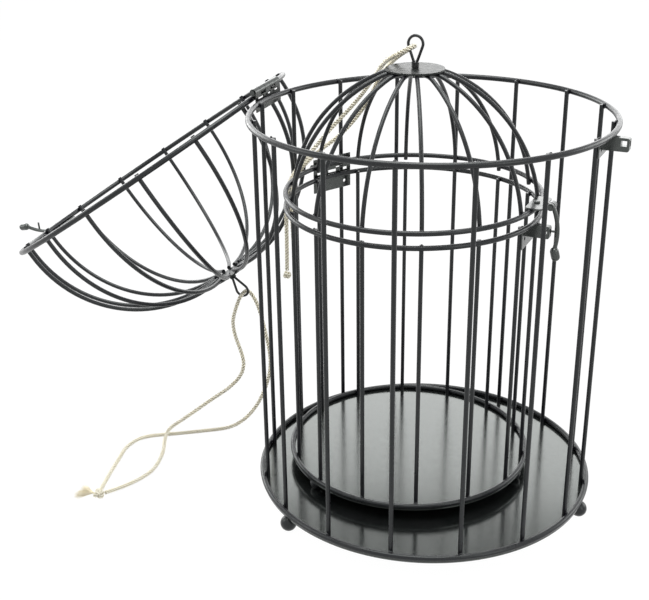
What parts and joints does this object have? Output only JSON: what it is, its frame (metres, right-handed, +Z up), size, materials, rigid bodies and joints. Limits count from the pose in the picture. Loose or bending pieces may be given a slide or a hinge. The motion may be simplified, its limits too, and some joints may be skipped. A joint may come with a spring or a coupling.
{
  "type": "wedding card box",
  "caption": "Nesting set of round black wire birdcage card boxes with hinged dome lids, lever latches, ball feet and rope ties; the large lid hangs open, the small cage stands inside.",
  "frame": {"origin": "on the large cage's axis, on the floor under its ball feet", "axes": "+Z up, -Y out of the latch side, +Y out of the hinge side, X along the hinge axes"},
  "size_m": [0.2701, 0.5254, 0.3415],
  "materials": {
    "wire": "satin black paint over steel wire",
    "plate": "gloss black paint over sheet steel",
    "hardware": "satin black paint over stamped steel",
    "rope": "natural three-strand twisted cord"
  },
  "bodies": {
    "outer_cage": {"outer_base_plate": "plate", "outer_base_ring": "wire", "outer_foot_1": "wire", "outer_foot_2": "wire", "outer_foot_3": "wire", "outer_upright_01": "wire", "outer_upright_02": "wire", "outer_upright_03": "wire", "outer_upright_04": "wire", "outer_upright_05": "wire", "outer_upright_06": "wire", "outer_upright_07": "wire", "outer_upright_08": "wire", "outer_upright_09": "wire", "outer_upright_10": "wire", "outer_upright_11": "wire", "outer_upright_12": "wire", "outer_upright_13": "wire", "outer_upright_14": "wire", "outer_upright_15": "wire", "outer_upright_16": "wire", "outer_body_ring": "wire", "outer_hinge_leaf": "hardware", "outer_hinge_pin": "hardware", "outer_catch": "hardware"},
    "outer_lid": {"outer_lid_ring": "wire", "outer_lid_ribs": "wire", "outer_lid_cap": "wire", "outer_lid_loop": "wire", "outer_lid_leaf": "hardware", "outer_latch_plate": "hardware", "outer_latch_rivet": "hardware", "outer_latch_pin": "hardware", "outer_rope_a": "rope", "outer_rope_b": "rope", "outer_rope_knot": "rope", "outer_rope_tuft": "rope"},
    "outer_lever": {"outer_latch_lever": "hardware"},
    "inner_cage": {"inner_base_plate": "plate", "inner_base_ring": "wire", "inner_feet": "wire", "inner_uprights": "wire", "inner_body_ring": "wire", "inner_hinge_leaf": "hardware", "inner_hinge_pin": "hardware", "inner_catch": "hardware"},
    "inner_lid": {"inner_lid_ring": "wire", "inner_lid_ribs": "wire", "inner_lid_cap": "wire", "inner_lid_loop": "wire", "inner_lid_leaf": "hardware", "inner_latch_plate": "hardware", "inner_latch_rivet": "hardware", "inner_latch_pin": "hardware", "inner_rope_a": "rope", "inner_rope_b": "rope", "inner_rope_knot": "rope"},
    "inner_lever": {"inner_latch_lever": "hardware"}
  },
  "joints": [
    {"name": "outer_lid_hinge", "type": "hinge", "parent": "outer_cage", "child": "outer_lid", "pos_m": [0, 0.12965, 0.2982], "axis": [-0.9977, 0, -0.068], "range_deg": [-212.6, 0], "deforming": ["outer_rope_a", "outer_rope_b", "outer_rope_knot", "outer_rope_tuft"]},
    {"name": "outer_latch", "type": "hinge", "parent": "outer_lid", "child": "outer_lever", "pos_m": [0.0102, 0.35045, 0.15261], "axis": [-0.9915, -0.0366, -0.125], "range_deg": [-55, 43]},
    {"name": "inner_lift", "type": "slide", "parent": "outer_cage", "child": "inner_cage", "axis": [0, 0, 1], "range_m": [0, 0.32]},
    {"name": "inner_lid_hinge", "type": "hinge", "parent": "inner_cage", "child": "inner_lid", "pos_m": [0.05113, 0.10245, 0.2288], "axis": [-0.901, 0.4339, 0], "range_deg": [0, 26], "deforming": ["inner_rope_a", "inner_rope_b", "inner_rope_knot"]},
    {"name": "inner_latch", "type": "hinge", "parent": "inner_lid", "child": "inner_lever", "pos_m": [0.0095, -0.0855, 0.2328], "axis": [-1, 0, 0], "range_deg": [0, 80]}
  ]
}
